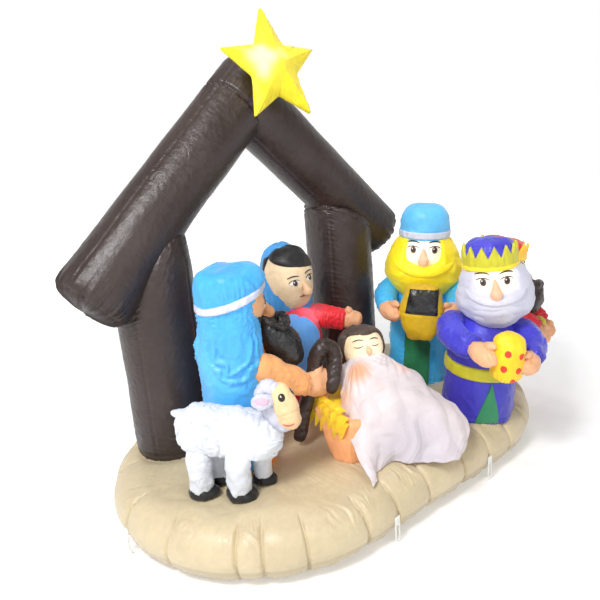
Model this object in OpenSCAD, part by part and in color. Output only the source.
// Inflatable nativity display: stable frame with star, seven figures, a crib and a sheep
// standing on one air-filled base, with its blower, lamps, zip and ground loops.
// Millimetres, +Z up, front of the display faces -Y, origin at the centre of the base underside.

/* [Base cushion] */
// Length of the base, side to side
base_len = 2134; // [1600:2:2600]
// Depth of the base, front to back
base_dep = 1320; // [1000:2:1600]
// Height of the inflated base
base_h = 213; // [150:1:280]
// Rounding radius of the base rim
rim_r = 75; // [40:1:100]
// Wall thickness of the inflated fabric shells
wall = 4; // [2:0.5:6]

/* [Stable frame] */
// Radius of the two posts
post_r = 168; // [120:1:200]
// Centre of the left post
post_left_x = -695; // [-800:1:-600]
// Centre of the right post
post_right_x = 346; // [250:1:450]
// Plane of the frame, front to back
frame_y = 291; // [200:1:380]
// Radius of the roof beams
beam_r = 144; // [110:1:180]
// Height of the point where the beam axes meet
apex_z = 1668; // [1400:1:1800]
// Height of the axis at the beam ends
eave_z = 939; // [800:1:1100]
// Half width across the beam ends
eave_half = 796; // [600:1:900]

/* [Star] */
// Radius to the star tips
star_r = 244; // [180:1:300]
// Inner radius as a share of the tip radius
star_k = 0.47; // [0.35:0.01:0.6]
// Half thickness at the star centre
star_puff = 52; // [20:1:80]
// Half thickness at the star edge
star_rim = 10; // [4:1:30]
// Backward tilt of the star
star_tilt = 14; // [0:1:25]
// Star centre, sideways
star_x = -131; // [-200:1:-60]
// Star centre, front to back
star_y = 92; // [40:1:140]
// Star centre height
star_z = 1763; // [1500:1:1850]

/* [Shepherd] */
// Place on the base, sideways
shep_x = -540; // [-600:1:-450]
// Place on the base, front to back
shep_y = -40; // [-100:1:60]
// Turn about the vertical
shep_turn = 80; // [0:1:180]
// Robe radius
shep_r = 130; // [110:1:160]

/* [Mother] */
// Place on the base, sideways
moth_x = -100; // [-200:1:0]
// Place on the base, front to back
moth_y = 170; // [80:1:220]
// Turn about the vertical
moth_turn = -1; // [-60:1:60]
// Sideways lean
moth_lean = 3; // [0:0.5:8]
// Dress radius
moth_r = 130; // [100:1:150]

/* [First king] */
// Place on the base, sideways
king1_x = 575; // [500:1:650]
// Place on the base, front to back
king1_y = -15; // [-80:1:60]
// Turn about the vertical
king1_turn = -50; // [-80:1:0]
// Sideways lean
king1_lean = 4; // [0:0.5:8]
// Robe radius
king1_r = 150; // [120:1:165]

/* [Second king] */
// Place on the base, sideways
king2_x = 460; // [400:1:520]
// Place on the base, front to back
king2_y = -470; // [-500:1:-400]
// Turn about the vertical
king2_turn = -50; // [-80:1:0]
// Sideways lean
king2_lean = 6; // [0:0.5:8]
// Robe radius
king2_r = 157; // [120:1:165]

/* [Third king] */
// Place on the base, sideways
king3_x = 838; // [760:1:860]
// Place on the base, front to back
king3_y = -294; // [-320:1:-220]
// Turn about the vertical
king3_turn = 20; // [-40:1:40]
// Sideways lean
king3_lean = 7; // [0:0.5:8]
// Robe radius
king3_r = 115; // [100:1:140]

/* [Crib and child] */
// Crib centre, sideways
crib_x = 0; // [-60:1:60]
// Crib centre, front to back
crib_y = -300; // [-360:1:-240]
// Turn of the crib about the vertical
crib_turn = -20; // [-45:1:20]
// Crib width
crib_w = 420; // [300:2:480]
// Crib depth
crib_d = 400; // [300:2:440]
// Crib height
crib_h = 190; // [120:1:240]
// Radius of the child's head
child_r = 92; // [70:1:110]

/* [Sheep] */
// Place on the base, sideways
sheep_x = -700; // [-800:1:-600]
// Place on the base, front to back
sheep_y = -212; // [-300:1:-150]
// Turn about the vertical
sheep_turn = -48; // [-90:1:0]
// Radius of the body
sheep_r = 84; // [70:1:110]
// Length of the straight part of the body
sheep_l = 190; // [80:1:200]

/* [Blower and zip] */
// Blower centre, sideways
fan_x = 110; // [60:1:330]
// Outer radius of the blower housing
fan_r = 70; // [50:1:80]
// Outer face of the blower, front to back
fan_y = 690; // [660:1:720]
// Left end of the zip
zip_x0 = -380; // [-400:1:-300]
// Length of the zip
zip_l = 320; // [200:1:360]

/* [Hidden] */
$fn = 64;
gap = 0.4;
end_x = (base_len - base_dep) / 2;
rise = (apex_z - eave_z) / eave_half;
apex_x = (post_left_x + post_right_x) / 2;
beam_a = atan(rise);
beam_l = norm([eave_half, apex_z - eave_z]);
beam_post_z = apex_z - rise * (post_right_x - apex_x);
z_trunk = 62;
cable_r = 4;
splice_r = 7;
fan_z = base_h / 2;
zip_y = base_dep / 2;
P_shep = [shep_x, shep_y];
P_moth = [moth_x, moth_y];
P_k1 = [king1_x, king1_y];
P_k2 = [king2_x, king2_y];
P_k3 = [king3_x, king3_y];
// head centre height, head radius, neck height, hat line, robe shoulder height of each king
H1 = [650, 150, 520, 749, 410];
H2 = [600, 145, 470, 680, 335];
H3 = [555, 128, 442, 625, 330];
// arm lines: shoulder, hand, sleeve length, sleeve radii, mitt radius
A1L = [[-150, -10, 458], [-128, -240, 430], 165, 56, 46, 44];
A1R = [[150, -20, 458], [148, -225, 430], 150, 56, 46, 44];
A2L = [[-160, -10, 380], [-37, -236, 372], 185, 56, 46, 44];
A2R = [[160, -20, 376], [176, -226, 356], 155, 56, 46, 44];
A3L = [[-106, -20, 345], [-78, -258, 246], 205, 46, 40, 36];
A3R = [[106, -20, 345], [78, -258, 246], 205, 46, 40, 36];
AML = [[-92, -20, 440], [-170, -66, 304], 118, 48, 42, 38];
AMR = [[88, -30, 450], [234, -162, 428], 158, 52, 42, 42];
ASL = [[-104, -70, 416], [-120, -318, 285], 225, 62, 42, 44];
ASR = [[104, -70, 430], [70, -250, 330], 140, 56, 42, 40];
// middles of the round beards of the first and third king
beard1_c = [0, -15, 578];
beard3_c = [0, -85, 462];
child_c = [-34, 94, 387];
lamp_1 = 640; lamp_2 = 590; lamp_3 = 540; lamp_s = 690; lamp_m = 620;

// ---------- helpers ----------
// figure frame: front of the figure faces its own -Y, lean goes to its own +X
module fig(p, turn, lean) translate([p[0], p[1], base_h]) rotate([0, 0, turn]) rotate([0, lean, 0]) children();
function figpt(p, turn, lean, z) =
  [p[0] + z * sin(lean) * cos(turn), p[1] + z * sin(lean) * sin(turn), base_h + z * cos(lean)];
// children run along +Z from p towards q
module along(p, q) {
  d = q - p;
  translate(p) rotate([0, acos(d[2] / norm(d)), atan2(d[1], d[0])]) children();
}
module rod(p, q, r) along(p, q) cylinder(r = r, h = norm(q - p));
module lathe(pts) rotate_extrude() polygon(pts);
module below(z = 0) translate([-3000, -3000, z - 3000]) cube([6000, 6000, 3000]);
module above(z = 0) translate([-3000, -3000, z]) cube([6000, 6000, 3000]);
module behind(y = 0) translate([-3000, y, -3000]) cube([6000, 3000, 6000]);
module ball_shell(r, w) difference() { sphere(r = r); sphere(r = r - w); }

// ---------- base ----------
module rim2d(w, h, r) {
  square([w - r, h]);
  translate([0, r]) square([w, h - 2 * r]);
  translate([w - r, r]) circle(r = r);
  translate([w - r, h - r]) circle(r = r);
}
module pad(d, h, r) {
  translate([end_x, 0, 0]) rotate([0, 0, -90]) rotate_extrude(angle = 180) rim2d(d / 2, h, r);
  translate([-end_x, 0, 0]) rotate([0, 0, 90]) rotate_extrude(angle = 180) rim2d(d / 2, h, r);
  translate([-end_x, 0, 0]) rotate([90, 0, 90]) linear_extrude(height = 2 * end_x) {
    rim2d(d / 2, h, r);
    mirror([1, 0]) rim2d(d / 2, h, r);
  }
}
module vent(p, r) translate([p[0], p[1], base_h - 40]) cylinder(r = r, h = 80);
sheep_leg_at = [40 * cos(sheep_turn) + 54 * sin(sheep_turn), 40 * sin(sheep_turn) - 54 * cos(sheep_turn)];
P_leg = [sheep_x + sheep_leg_at[0], sheep_y + sheep_leg_at[1]];
P_child = [crib_x + child_c[0] * cos(crib_turn) - child_c[1] * sin(crib_turn),
  crib_y + child_c[0] * sin(crib_turn) + child_c[1] * cos(crib_turn)];
module base_cushion() color([0.78, 0.72, 0.58]) difference() {
  pad(base_dep, base_h, rim_r);
  translate([0, 0, wall]) pad(base_dep - 2 * wall, base_h - 2 * wall, rim_r - wall);
  for (p = [P_shep, P_moth, P_k1, P_k2, P_k3]) vent(p, 45);
  for (p = [[post_left_x, frame_y], [post_right_x, frame_y]]) vent(p, 110);
  vent(P_leg, 10);
  vent(P_child, 16);
  translate([fan_x, base_dep / 2 - 110, fan_z]) rotate([-90, 0, 0]) cylinder(r = fan_r + gap, h = 200);
}

// ---------- stable frame ----------
module post_place() { translate([post_left_x, frame_y, 0]) children(0); translate([post_right_x, frame_y, 0]) children(0); }
// beam axis frame: s = -1 left, +1 right; +Z of the child runs from the apex to the eave
module beam_place(s) translate([apex_x, frame_y, apex_z]) rotate([0, s * (90 + beam_a), 0]) children();
module beam_env(s) beam_place(s) translate([0, 0, -260]) cylinder(r = beam_r + gap, h = beam_l + 400);
module post(s) difference() {
  translate([s < 0 ? post_left_x : post_right_x, frame_y, base_h]) difference() {
    cylinder(r = post_r, h = 1000);
    translate([0, 0, -1]) cylinder(r = post_r - wall, h = 1002);
  }
  beam_env(s);
  beam_place(s) rotate([0, 0, s < 0 ? 0 : 180]) translate([-70, -500, -400]) cube([1500, 1000, 2400]);
}
module posts() color([0.27, 0.22, 0.19]) { post(-1); post(1); }
module beam(s) difference() {
  beam_place(s) difference() {
    translate([0, 0, -260]) cylinder(r = beam_r, h = beam_l + 260);
    translate([0, 0, -261]) cylinder(r = beam_r - wall, h = beam_l + 261 - wall);
  }
  translate([s < 0 ? apex_x - gap / 4 : apex_x + gap / 4 - 3000, -1000, 0]) cube([3000, 3000, 4000]);
  translate([s < 0 ? post_left_x : post_right_x, frame_y, beam_post_z - 320]) cylinder(r = 90, h = 320);
  translate([star_x, frame_y, star_z - 23]) rotate([90, 0, 0]) cylinder(r = 22, h = 300);
}
module roof_beams() color([0.25, 0.2, 0.17]) { beam(-1); beam(1); }

// ---------- star ----------
module star_solid(r, rim, puff) {
  ring = [for (i = [0:9]) let (a = 90 + 36 * i, q = i % 2 == 0 ? r : r * star_k) [q * cos(a), q * sin(a)]];
  polyhedron(
    points = concat([for (p = ring) [p[0], -rim, p[1]]], [for (p = ring) [p[0], rim, p[1]]], [[0, -puff, 0], [0, puff, 0]]),
    faces = concat([for (i = [0:9]) [i, (i + 1) % 10, 20]], [for (i = [0:9]) [10 + (i + 1) % 10, 10 + i, 21]],
      [for (i = [0:9]) [(i + 1) % 10, i, 10 + i]], [for (i = [0:9]) [(i + 1) % 10, 10 + i, 10 + (i + 1) % 10]]));
}
module star_place() translate([star_x, star_y, star_z]) rotate([-star_tilt, 0, 0]) children();
module star() color([0.98, 0.86, 0.2]) {
  star_place() difference() {
    star_solid(star_r, star_rim, star_puff);
    translate([0, -star_puff + 12, -22]) rotate([-90, 0, 0]) cylinder(r = 34, h = 200);
  }
}

// ---------- ground loops ----------
module loop_strip() rotate([90, 0, 0]) linear_extrude(height = 3) difference() {
  translate([-12.5, 12]) square([25, 100]);
  translate([-7.5, 20]) square([15, 55]);
}
module tether_loops() color([0.94, 0.94, 0.92]) {
  for (x = [-290, 290]) translate([x, -base_dep / 2 - 0.2, 0]) loop_strip();
  for (x = [-395, 330]) translate([x, base_dep / 2 + 0.2, 0]) rotate([0, 0, 180]) loop_strip();
  for (s = [-1, 1]) translate([s * (base_len / 2 + 0.2), 0, 0]) rotate([0, 0, s * 90]) loop_strip();
}

// ---------- zip in the back of the base ----------
module zipper_tape() color([0.72, 0.68, 0.56]) {
  translate([zip_x0, zip_y + 0.2, fan_z - 16]) cube([zip_l, 1.8, 32]);
  translate([zip_x0 + 6, zip_y + 1.9, fan_z - 2.5]) cube([zip_l - 12, 2.6, 5]);
}
module zipper_slider() color([0.62, 0.62, 0.64]) translate([zip_x0 + zip_l - 30, zip_y + 2.4, fan_z]) difference() {
  union() {
    translate([0, 0, -6]) cube([16, 5, 12]);
    translate([8, 5, 0]) rotate([0, 0, 0]) difference() {
      translate([-4, 0, -5]) cube([8, 6, 10]);
      translate([-5, -1, -2.2]) cube([10, 8, 4.4]);
    }
  }
  translate([-1, -1, -2.9]) cube([18, 3.6, 5.8]);
  translate([8, 8, -6]) cylinder(r = 1.5, h = 12);
}
module zipper_pull() color([0.6, 0.6, 0.62]) translate([zip_x0 + zip_l - 22, zip_y + 10.4, fan_z]) {
  translate([0, 0, -4.9]) cylinder(r = 1.45, h = 9.8);
  difference() {
    translate([0, -1, -1.9]) cube([34, 2, 3.8]);
    translate([27, -2, 0]) rotate([-90, 0, 0]) cylinder(r = 1.1, h = 4);
  }
}

// ---------- blower ----------
// blower frame: +Z of the child runs out of the back of the base, z = 0 at the inner end
fan_len = fan_y - base_dep / 2 + 85;
module fan_place() translate([fan_x, fan_y - fan_len, fan_z]) rotate([-90, 0, 0]) children();
module boss_at() for (a = [45:90:315]) rotate([0, 0, a]) translate([fan_r - 9, 0, 0]) children();
module blower_housing() color([0.16, 0.16, 0.17]) fan_place() difference() {
  union() {
    linear_extrude(height = fan_len - 5) difference() {
      circle(r = fan_r);
      circle(r = fan_r - 4);
    }
    translate([0, 0, fan_len - 30]) linear_extrude(height = 25) intersection() {
      boss_at() circle(r = 6.5);
      circle(r = fan_r - 2);
    }
    // motor cradle on three arms
    translate([0, 0, 1]) linear_extrude(height = 10) difference() {
      union() {
        circle(r = 31);
        for (a = [30:120:270]) rotate([0, 0, a]) translate([28, -4]) square([fan_r - 30, 8]);
      }
      circle(r = 12);
    }
    // cord gland on the underside
    translate([-10, fan_r - 3, fan_len - 32]) cube([20, 17, 20]);
  }
  translate([0, 0, 4]) cylinder(r = 26.2, h = 20);
  boss_at() translate([0, 0, fan_len - 26]) cylinder(r = 2.05, h = 30);
  translate([0, fan_r - 8, fan_len - 22]) rotate([-90, 0, 0]) cylinder(r = 3.6, h = 40);
}
module blower_grille() color([0.14, 0.14, 0.15]) fan_place() translate([0, 0, fan_len - 4.8]) difference() {
  cylinder(r = fan_r, h = 4.8);
  for (r = [18, 28, 38, 48]) difference() {
    translate([0, 0, -1]) cylinder(r = r + 3.2, h = 8);
    translate([0, 0, -2]) cylinder(r = r - 3.2, h = 10);
    for (a = [0, 90]) rotate([0, 0, a]) translate([-80, -3, -2]) cube([160, 6, 10]);
  }
  boss_at() translate([0, 0, -1]) cylinder(r = 2.1, h = 10);
}
module blower_motor() color([0.55, 0.56, 0.58]) fan_place() translate([0, 0, 4.1]) difference() {
  union() {
    cylinder(r = 26, h = 46);
    translate([0, 0, 46]) cylinder(r = 9, h = 5);
  }
  translate([0, 0, 8]) cylinder(r = 4.05, h = 60);
}
module blower_impeller() color([0.2, 0.2, 0.22]) fan_place() {
  translate([0, 0, 16]) cylinder(r = 4, h = 46);
  translate([0, 0, 58]) cylinder(r = 24, h = 30);
  for (a = [0:45:315]) rotate([0, 0, a]) translate([22, 0, 73]) rotate([38, 0, 0]) translate([0, -1.4, -15]) cube([26, 2.8, 30]);
}
module blower_screws() color([0.7, 0.7, 0.72]) fan_place() boss_at() {
  translate([0, 0, fan_len - 22]) cylinder(r = 2, h = 22.1);
  difference() {
    translate([0, 0, fan_len + 0.05]) cylinder(r = 3.8, h = 2.4);
    translate([-3, -0.5, fan_len + 1.4]) cube([6, 1, 2]);
  }
}

// ---------- lamps and their harness ----------
trunk_t = 8;
module riser(p, turn, lean, z) {
  if (lean == 0) rod([p[0], p[1], z_trunk + trunk_t / 2], [p[0], p[1], base_h + z - 24 - gap], cable_r);
  else {
    rod([p[0], p[1], z_trunk + trunk_t / 2], [p[0], p[1], base_h], cable_r);
    translate([p[0], p[1], base_h]) sphere(r = splice_r);
    rod([p[0], p[1], base_h], figpt(p, turn, lean, z - 24 - gap), cable_r);
  }
}
route = [[fan_x - 100, 520], [post_right_x, frame_y], P_k1, P_k3, P_k2, P_child, P_moth, P_shep, P_leg];
star_top = [star_x, frame_y, star_z - 23];
module light_harness() color([0.12, 0.3, 0.14]) union() {
  // flat trunk lying in the base, with a splice pad under each riser
  translate([0, 0, z_trunk - trunk_t / 2]) linear_extrude(height = trunk_t) {
    for (i = [0:len(route) - 2]) let (d = route[i + 1] - route[i])
      translate(route[i]) rotate(atan2(d[1], d[0])) translate([0, -cable_r]) square([norm(d), 2 * cable_r]);
    for (q = route) translate(q) circle(r = splice_r + 3);
  }
  riser(P_k1, king1_turn, king1_lean, lamp_1);
  riser(P_k2, king2_turn, king2_lean, lamp_2);
  riser(P_k3, king3_turn, king3_lean, lamp_3);
  riser(P_shep, 0, 0, lamp_s);
  riser(P_moth, moth_turn, moth_lean, lamp_m);
  riser(P_child, 0, 0, child_c[2]);
  riser(P_leg, 0, 0, 236);
  rod([post_right_x, frame_y, z_trunk + trunk_t / 2], [post_right_x, frame_y, beam_post_z], cable_r);
  translate([post_right_x, frame_y, beam_post_z]) sphere(r = splice_r);
  rod([post_right_x, frame_y, beam_post_z], star_top, cable_r);
  translate(star_top) sphere(r = splice_r);
  rod(star_top, [star_x, star_y + 24 + gap, star_z - 23], cable_r);
}
module lamp() { translate([0, 0, -24]) cylinder(r = 13, h = 20); translate([0, 0, -4]) cylinder(r = 9, h = 12); translate([0, 0, 8]) sphere(r = 9); }
module lamps() color([1, 0.97, 0.9]) {
  fig(P_k1, king1_turn, king1_lean) translate([0, 0, lamp_1]) lamp();
  fig(P_k2, king2_turn, king2_lean) translate([0, 0, lamp_2]) lamp();
  fig(P_k3, king3_turn, king3_lean) translate([0, 0, lamp_3]) lamp();
  fig(P_shep, 0, 0) translate([0, 0, lamp_s]) lamp();
  fig(P_moth, moth_turn, moth_lean) translate([0, 0, lamp_m]) lamp();
  fig(P_child, 0, 0) translate([0, 0, child_c[2]]) lamp();
  fig(P_leg, 0, 0) translate([0, 0, 236]) lamp();
  translate([star_x, star_y, star_z - 23]) rotate([90, 0, 0]) lamp();
}

// ---------- kings ----------
function ring_r(R, h) = sqrt(R * R - h * h);
function robe_out(r, H, e = 0) = [[r + e, -40], [r + e, H[4]], [ring_r(H[1], H[0] - H[2]) + 3 + e, H[2]]];
module robe_env(r, H) lathe(concat([[0, -40]], robe_out(r, H, gap), [[0, H[2]]]));
module robe(p, turn, lean, r, H) difference() {
  fig(p, turn, lean) lathe(concat(robe_out(r, H), [[ring_r(H[1], H[0] - H[2]) - 3, H[2]], [r - wall, H[4] - 3], [r - wall, -40]]));
  below(base_h + 0.2);
}
module head(H) difference() {
  translate([0, 0, H[0]]) ball_shell(H[1], wall);
  below(H[2] + 0.1);
  above(H[3]);
}
module head_env(H) translate([0, 0, H[0]]) sphere(r = H[1] + gap);
module sleeve(A) along(A[0], A[1]) cylinder(r1 = A[3], r2 = A[4], h = A[2]);
module mitt(A) along(A[0], A[1]) difference() {
  translate([0, 0, A[2] + A[5] * 0.8]) sphere(r = A[5]);
  translate([0, 0, A[2] - 100 + gap]) cylinder(r = 100, h = 100);
}
module beard(H, r, R, c, z0, z1, yb) difference() {
  translate(c) sphere(r = R);
  head_env(H);
  robe_env(r, H);
  behind(yb);
  below(z0);
  above(z1);
}
module panel(r, w, h) intersection() {
  difference() { translate([0, 0, -30]) cylinder(r = r + 4, h = h + 30); translate([0, 0, -40]) cylinder(r = r + gap, h = h + 60); }
  rotate([90, 0, 0]) linear_extrude(height = 400) polygon([[-w, -40], [w, -40], [w * 0.22, h], [-w * 0.22, h]]);
}
module king_panels() color([0.1, 0.5, 0.3]) {
  difference() { fig(P_k1, king1_turn, king1_lean) panel(king1_r, 62, 330); below(base_h + 0.2); }
  difference() { fig(P_k2, king2_turn, king2_lean) rotate([0, 0, 8]) panel(king2_r, 52, 200); below(base_h + 0.2); }
}

// first king: domed hat with a white band, golden beard, chest with a dark lid
module king1_robe() color([0.2, 0.62, 0.88]) robe(P_k1, king1_turn, king1_lean, king1_r, H1);
module king1_sleeves() color([0.2, 0.62, 0.88]) fig(P_k1, king1_turn, king1_lean) difference() {
  union() { sleeve(A1L); sleeve(A1R); }
  robe_env(king1_r, H1);
  translate(beard1_c) sphere(r = 188 + gap);
}
module king1_head() color([0.93, 0.86, 0.72]) fig(P_k1, king1_turn, king1_lean) head(H1);
module king1_hat() color([0.25, 0.68, 0.92]) fig(P_k1, king1_turn, king1_lean)
  lathe([[112, 749.2], [126, 752], [126, 840], [112, 875], [78, 899], [0, 908],
    [0, 904], [76, 895], [109, 872], [122, 839], [122, 755], [108, 753]]);
module king1_band() color([0.95, 0.95, 0.95]) fig(P_k1, king1_turn, king1_lean)
  translate([0, 0, 751]) difference() { cylinder(r = 132, h = 32); translate([0, 0, -1]) cylinder(r = 126.4, h = 40); }
module king1_beard() color([0.97, 0.85, 0.1]) fig(P_k1, king1_turn, king1_lean) beard(H1, king1_r, 188, beard1_c, 440, 656, -24);
module gift1_env() translate([-5 - 95 - gap, -272 - 52 - gap, 310]) cube([190 + 2 * gap, 104 + 2 * gap, 262]);
module king1_gift() color([0.82, 0.66, 0.08]) fig(P_k1, king1_turn, king1_lean) difference() {
  translate([-5, -272, 312]) union() {
    translate([-95, -52, 60]) cube([190, 104, 196]);
    translate([0, 0, 30]) translate([-78, -44, -28]) cube([156, 88, 60]);
  }
  translate([-70, -330, 454]) cube([130, 12, 96]);
  translate(beard1_c) sphere(r = 188 + gap);
}

// second king: cap in a zigzag crown, white beard, belt, spotted jar
module king2_robe() color([0.25, 0.24, 0.72]) robe(P_k2, king2_turn, king2_lean, king2_r, H2);
module king2_belt() color([0.7, 0.68, 0.1]) fig(P_k2, king2_turn, king2_lean) translate([0, 0, 204])
  difference() { cylinder(r = king2_r + 6, h = 60); translate([0, 0, -1]) cylinder(r = king2_r + gap, h = 62); }
module king2_sleeves() color([0.25, 0.24, 0.72]) fig(P_k2, king2_turn, king2_lean) difference() {
  union() { sleeve(A2L); sleeve(A2R); }
  robe_env(king2_r, H2);
  translate([0, -20, 530]) sphere(r = 168 + gap);
  translate([0, 0, 202]) cylinder(r = king2_r + 6 + gap, h = 64);
}
module king2_head() color([0.93, 0.86, 0.72]) fig(P_k2, king2_turn, king2_lean) head(H2);
module crown(R, z0, z1, n) difference() {
  translate([0, 0, z0]) cylinder(r = R, h = z1 - z0);
  translate([0, 0, z0 - 1]) cylinder(r = R - 5, h = z1 - z0 + 2);
  for (i = [0:n - 1]) rotate([0, 0, (i + 0.5) * 360 / n]) rotate([90, 0, 0]) linear_extrude(height = 300)
    polygon([[-R * tan(170 / n), z1 + 1], [R * tan(170 / n), z1 + 1], [0, z0 + (z1 - z0) * 0.42]]);
}
module king2_crown() color([0.74, 0.72, 0.12]) fig(P_k2, king2_turn, king2_lean) crown(122, 690, 764, 13);
module king2_cap() color([0.26, 0.25, 0.75]) fig(P_k2, king2_turn, king2_lean)
  lathe([[121, 680.2], [115.5, 690], [114, 712], [108, 752], [76, 788], [0, 802],
    [0, 798], [74, 784], [104, 750], [110, 712], [111, 690], [117, 683]]);
module king2_beard() color([0.95, 0.95, 0.96]) fig(P_k2, king2_turn, king2_lean) beard(H2, king2_r, 168, [0, -20, 530], 420, 600, -45);
module king2_gift() color([0.95, 0.8, 0.1]) fig(P_k2, king2_turn, king2_lean) translate([62, -268, 278]) {
  cylinder(r = 62, h = 168);
  translate([0, 0, 168]) cylinder(r1 = 62, r2 = 46, h = 24);
}

// third king: red cap in a crown, dark beard
module king3_robe() color([0.75, 0.1, 0.1]) robe(P_k3, king3_turn, king3_lean, king3_r, H3);
module king3_sleeves() color([0.82, 0.12, 0.12]) fig(P_k3, king3_turn, king3_lean) difference() {
  union() { sleeve(A3L); sleeve(A3R); }
  robe_env(king3_r, H3);
  translate(beard3_c) sphere(r = 145 + gap);
  translate([0, -214, 150]) cylinder(r = 42 + gap, h = 200);
}
module king3_head() color([0.85, 0.62, 0.42]) fig(P_k3, king3_turn, king3_lean) head(H3);
module king3_beard() color([0.18, 0.13, 0.11]) fig(P_k3, king3_turn, king3_lean) beard(H3, king3_r, 145, beard3_c, 345, 540, -60);
module king3_crown() color([0.95, 0.66, 0.12]) fig(P_k3, king3_turn, king3_lean) union() {
  crown(118, 626, 692, 8);
  lathe([[106, 625.2], [114, 625.2], [114, 670], [100, 692], [66, 708], [0, 714],
    [0, 710], [64, 704], [97, 689], [109.5, 669], [109.5, 630], [104, 630]]);
}
module king3_gift() color([0.72, 0.68, 0.14]) fig(P_k3, king3_turn, king3_lean) translate([0, -214, 195]) {
  cylinder(r = 42, h = 90);
  translate([0, 0, 90]) cylinder(r1 = 42, r2 = 16, h = 34);
}

// ---------- shepherd ----------
HS = [700, 125, 590, 900, 470];
module shep() fig(P_shep, shep_turn, 0) children();
module shepherd_robe() color([0.92, 0.5, 0.16]) robe(P_shep, shep_turn, 0, shep_r, HS);
module shepherd_head() color([0.9, 0.72, 0.54]) shep() head(HS);
// head cloth round the back of the head, running down into a cape
module cloth_env() translate([0, 0, 700]) sphere(r = 140 + gap);
module shepherd_cape() color([0.16, 0.55, 0.86]) difference() {
  shep() difference() {
    union() {
      translate([0, 0, 700]) sphere(r = 140);
      translate([0, 0, 14]) cylinder(r = shep_r + 14, h = 626);
    }
    translate([0, 0, 700]) sphere(r = 125 + gap);
    robe_env(shep_r, HS);
    translate([0, 0, 300]) cylinder(r = shep_r + gap, h = 290);
    // open front of cape and face
    translate([-400, -800, -50]) cube([800, 760, 700]);
    translate([-400, -860, 640]) cube([800, 790, 118]);
    translate([0, 0, 580]) cylinder(r = 60, h = 60);
  }
  below(base_h + 0.2);
}
module shepherd_band() color([0.86, 0.86, 0.9]) shep() intersection() {
  translate([0, 0, 700]) difference() { sphere(r = 146); sphere(r = 140 + gap); }
  translate([0, 0, 735]) rotate([-15, 0, 0]) translate([-300, -300, -16]) cube([600, 600, 32]);
}
beard_s = [[0, 350], [52, 358], [88, 392], [102, 446], [92, 506], [66, 552], [40, 584], [0, 592]];
module shep_beard_env() translate([0, -178, 0]) lathe([for (p = beard_s) [p[0] > 0 ? p[0] + gap : 0, p[1]]]);
module shepherd_beard() color([0.08, 0.08, 0.08]) shep() difference() {
  translate([0, -178, 0]) lathe(beard_s);
  robe_env(shep_r, HS);
  cloth_env();
  behind(-60);
}
module shepherd_sleeves() color([0.93, 0.62, 0.34]) shep() difference() {
  union() { sleeve(ASL); sleeve(ASR); }
  robe_env(shep_r, HS);
  shep_beard_env();
  crook_solid(gap);
  translate([0, 0, 0]) difference() { cylinder(r = shep_r + 14 + gap, h = 700); translate([-400, -800 , -50]) cube([800, 760 - gap, 900]); }
}
// crook: shaft, arch and hanging tip, held upright in front
crook_c = [-90, -307, 325];
module crook_solid(e = 0) translate(crook_c) rotate([0, 0, 90]) rotate([0, -18, 0]) {
  translate([0, 0, -272]) cylinder(r = 26 + e, h = 336);
  translate([0, 0, -272]) sphere(r = 26 + e);
  translate([-36, 0, 64]) rotate([90, 0, 0]) rotate_extrude(angle = 180) translate([36, 0]) circle(r = 26 + e);
  translate([-72, 0, -60]) cylinder(r = 26 + e, h = 124);
  translate([-72, 0, -60]) sphere(r = 26 + e);
}
module shepherd_crook() color([0.2, 0.15, 0.13]) shep() crook_solid();

// ---------- mother ----------
module moth() fig(P_moth, moth_turn, moth_lean) children();
HM = [625, 112, 520, 742, 400];
moth_head = [[44, 520], [76, 540], [96, 572], [108, 612], [112, 650], [104, 700], [80, 742]];
function grow(l, e) = [for (p = l) [p[0] + e, p[1]]];
function rev(l) = [for (i = [len(l) - 1:-1:0]) l[i]];
moth_top = [[80, 742.2], [66, 770], [44, 790], [0, 802]];
moth_body = [[moth_r, -40], [moth_r, 400], [112, 450], [47, 519.8]];
module dress_env() lathe(concat([[0, -40]], grow(moth_body, gap), [[0, 519.8]]));
module mother_dress() color([0.84, 0.1, 0.14]) difference() {
  moth() lathe(concat(moth_body, rev(grow(moth_body, -wall))));
  below(base_h + 0.2);
}
module mother_head() color([0.9, 0.76, 0.6]) moth() lathe(concat(moth_head, rev(grow(moth_head, -wall))));
module mother_hair() color([0.1, 0.1, 0.1]) moth() lathe(concat(moth_top, [[0, 798], [41, 786], [62, 768], [76, 742.2]]));
veil_in = [[132, 440], [128, 560], [115, 610], [114.5, 650], [106.5, 700], [82.5, 742], [69, 770], [47, 791], [0, 804]];
veil_out = [[138, 440], [134, 560], [123, 620], [120, 660], [112, 704], [89, 748], [75, 777], [50, 799], [0, 812]];
module mother_veil() color([0.15, 0.5, 0.85]) moth() difference() {
  lathe(concat(veil_out, rev(veil_in)));
  translate([-500, -982, 0]) cube([1000, 1000, 1000]);
}
module mother_apron() color([0.18, 0.5, 0.86]) moth() intersection() {
  difference() { cylinder(r = moth_r + 5, h = 399); translate([0, 0, -1]) cylinder(r = moth_r + gap, h = 401); }
  translate([-10, 0, 285]) rotate([90, 0, 0]) cylinder(r = 112, h = 300);
}
module mother_sleeves() color([0.88, 0.12, 0.16]) moth() difference() {
  union() { sleeve(AML); sleeve(AMR); }
  dress_env();
  cylinder(r = moth_r + 5 + gap, h = 400);
  lathe(concat([[0, 519]], grow(moth_head, gap), [[0, 742]]));
}

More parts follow.
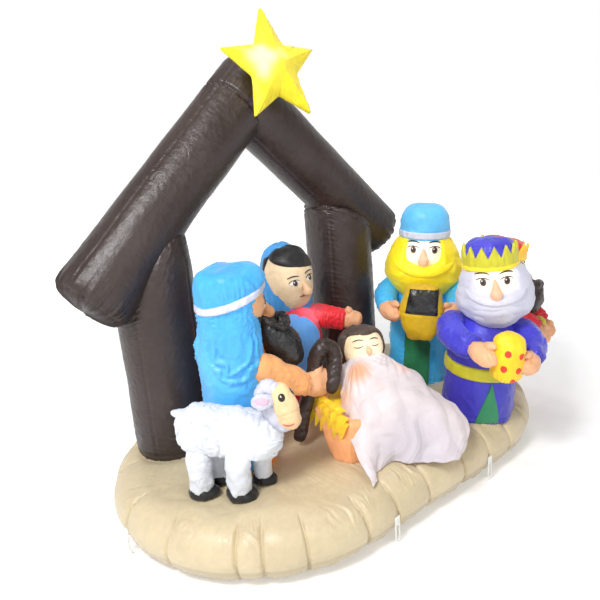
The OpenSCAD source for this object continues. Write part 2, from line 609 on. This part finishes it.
// every bare mitten hand of the figures
module hands() color([0.95, 0.74, 0.58]) {
  fig(P_k1, king1_turn, king1_lean) difference() { union() { mitt(A1L); mitt(A1R); } gift1_env(); translate(beard1_c) sphere(r = 188 + gap); }
  fig(P_k2, king2_turn, king2_lean) difference() { union() { mitt(A2L); mitt(A2R); } translate([62, -268, 240]) cylinder(r = 62 + gap, h = 300); }
  fig(P_k3, king3_turn, king3_lean) difference() { union() { mitt(A3L); mitt(A3R); } translate([0, -214, 150]) cylinder(r = 42 + gap, h = 200); }
  moth() { mitt(AML); mitt(AMR); }
  shep() difference() { union() { mitt(ASL); mitt(ASR); } crook_solid(gap); shep_beard_env(); }
}

// ---------- crib and child ----------
module crib() translate([crib_x, crib_y, base_h]) rotate([0, 0, crib_turn]) children();
module manger() color([0.9, 0.55, 0.25]) crib() translate([0, 0, 0.2]) difference() {
  translate([-crib_w / 2, -crib_d / 2, 0]) cube([crib_w, crib_d, crib_h]);
  translate([-crib_w / 2 + wall, -crib_d / 2 + wall, wall]) cube([crib_w - 2 * wall, crib_d - 2 * wall, crib_h]);
  translate([child_c[0], child_c[1], -1]) cylinder(r = 16, h = 10);
}
// straw: a mat in the crib and a zigzag fringe over its left and front edges
module fringe(l, n) rotate([90, 0, 0]) linear_extrude(height = 5) polygon(concat([[l, 8], [0, 8]],
  [for (i = [0:n - 1]) each [[i * l / n, -10], [(i + 0.5) * l / n, -62 + 14 * (i % 2)]]], [[l, -10]]));
module hay() color([0.98, 0.82, 0.1]) crib() difference() {
  union() {
    translate([-crib_w / 2 + wall + gap, -crib_d / 2 + wall + gap, 128]) cube([crib_w - 2 * wall - 2 * gap, crib_d - 2 * wall - 2 * gap, 40]);
    translate([-crib_w / 2 + wall + gap, -crib_d / 2 + wall + gap, 160]) cube([14, crib_d - 2 * wall - 2 * gap, 38.5]);
    translate([-crib_w / 2 - 5.4, -crib_d / 2 + 8, crib_h + 0.6]) cube([20, crib_d - 16, 8]);
    translate([-crib_w / 2 - 5.4, -crib_d / 2 + 8, crib_h + 0.6]) rotate([0, 0, 90]) fringe(crib_d - 16, 11);
  }
  translate([child_c[0], child_c[1], 100]) cylinder(r = 16, h = 200);
}
module hay_env() translate([-crib_w / 2 - 8, -crib_d / 2, 100]) cube([crib_w + 8, crib_d, 68 + gap]);
body_a = [-30, 40, 268];
body_b = [8, -90, 238];
body_l = norm(body_b - body_a);
module child_body() color([0.93, 0.88, 0.84]) crib() difference() {
  along(body_a, body_b) lathe([[0, -82], [50, -70], [82, -34], [90, 0], [90, body_l], [82, body_l + 34], [50, body_l + 70], [0, body_l + 82]]);
  hay_env();
  translate(child_c) sphere(r = child_r + gap);
  translate([child_c[0], child_c[1], 100]) cylinder(r = 16, h = 300);
}
module child_head() color([0.93, 0.8, 0.64]) crib() difference() {
  translate(child_c) ball_shell(child_r, wall);
  translate([child_c[0], child_c[1], 250]) cylinder(r = 16, h = 100);
}
path_o = [[-8, 372], [-100, 350], [-178, 300], [-206, 225], [-206, 6]];
path_i = [[-211, 6], [-211, 227], [-182, 304], [-102, 355], [-8, 377]];
module blanket() color([0.93, 0.88, 0.9]) crib() difference() {
  union() {
    translate([-150, 0, 0]) rotate([90, 0, 90]) linear_extrude(height = 371) polygon(concat(path_o, path_i));
    translate([216, 0, 0]) rotate([90, 0, 90]) linear_extrude(height = 5)
      polygon([[-8, 377], [-102, 355], [-182, 304], [-211, 227], [-211, 6], [-60, 70], [-8, 150]]);
  }
  translate(child_c) sphere(r = child_r + gap);
}

// ---------- sheep ----------
module flock() translate([sheep_x, sheep_y, base_h]) rotate([0, 0, sheep_turn]) children();
sheep_z = 236;
// legs in a walking stance: near hind, near front, far hind, far front
legs_at = [[-112, -50], [40, -54], [-74, 46], [102, 50]];
module capsule(r, l) rotate([0, 90, 0]) lathe([
  [0, -l / 2 - r], [r * 0.5, -l / 2 - r * 0.87], [r * 0.87, -l / 2 - r * 0.5], [r, -l / 2],
  [r, l / 2], [r * 0.87, l / 2 + r * 0.5], [r * 0.5, l / 2 + r * 0.87], [0, l / 2 + r]]);
module sheep_env() translate([0, 0, sheep_z]) capsule(sheep_r + gap, sheep_l);
module leg_at() for (p = legs_at) translate([p[0], p[1], 0]) children();
module sheep_body() color([0.97, 0.97, 0.97]) flock() difference() {
  union() {
    translate([0, 0, sheep_z]) capsule(sheep_r, sheep_l);
    translate([-sheep_l / 2 - 65, 0, sheep_z + 78]) sphere(r = 24);
  }
  translate([0, 0, sheep_z]) capsule(sheep_r - wall, sheep_l);
  leg_at() translate([0, 0, 100]) cylinder(r = 14, h = 136);
}
sheep_hc = [200, 0, 352];
module sheep_head() color([0.94, 0.84, 0.7]) flock() difference() {
  union() {
    translate(sheep_hc) sphere(r = 58);
    translate(sheep_hc + [34, 0, -42]) sphere(r = 42);
    translate(sheep_hc + [-28, 0, 62]) sphere(r = 36);
  }
  sheep_env();
}
module sheep_ears() color([0.82, 0.8, 0.9]) flock() for (s = [-1, 1]) difference() {
  translate(sheep_hc + [-40, s * 60, 36]) rotate([s * 62, 0, 0]) cylinder(r = 27, h = 14, center = true);
  translate(sheep_hc) sphere(r = 58 + gap);
}
module sheep_legs() color([0.9, 0.9, 0.92]) flock() difference() {
  leg_at() difference() {
    translate([0, 0, 0.3]) cylinder(r = 42, h = 205);
    translate([0, 0, 46]) cylinder(r = 42 - wall, h = 300);
    translate([0, 0, -1]) cylinder(r = 10, h = 60);
  }
  sheep_env();
}

base_cushion();
posts();
roof_beams();
star();
tether_loops();
zipper_tape();
zipper_slider();
zipper_pull();
blower_housing();
blower_grille();
blower_motor();
blower_impeller();
blower_screws();
light_harness();
lamps();
shepherd_robe();
shepherd_cape();
shepherd_head();
shepherd_band();
shepherd_beard();
shepherd_sleeves();
shepherd_crook();
mother_dress();
mother_apron();
mother_veil();
mother_head();
mother_hair();
mother_sleeves();
manger();
hay();
child_body();
child_head();
blanket();
sheep_body();
sheep_head();
sheep_ears();
sheep_legs();
hands();
king_panels();
king1_robe();
king1_sleeves();
king1_gift();
king1_beard();
king1_head();
king1_hat();
king1_band();
king2_robe();
king2_belt();
king2_sleeves();
king2_gift();
king2_beard();
king2_head();
king2_crown();
king2_cap();
king3_robe();
king3_sleeves();
king3_gift();
king3_beard();
king3_head();
king3_crown();
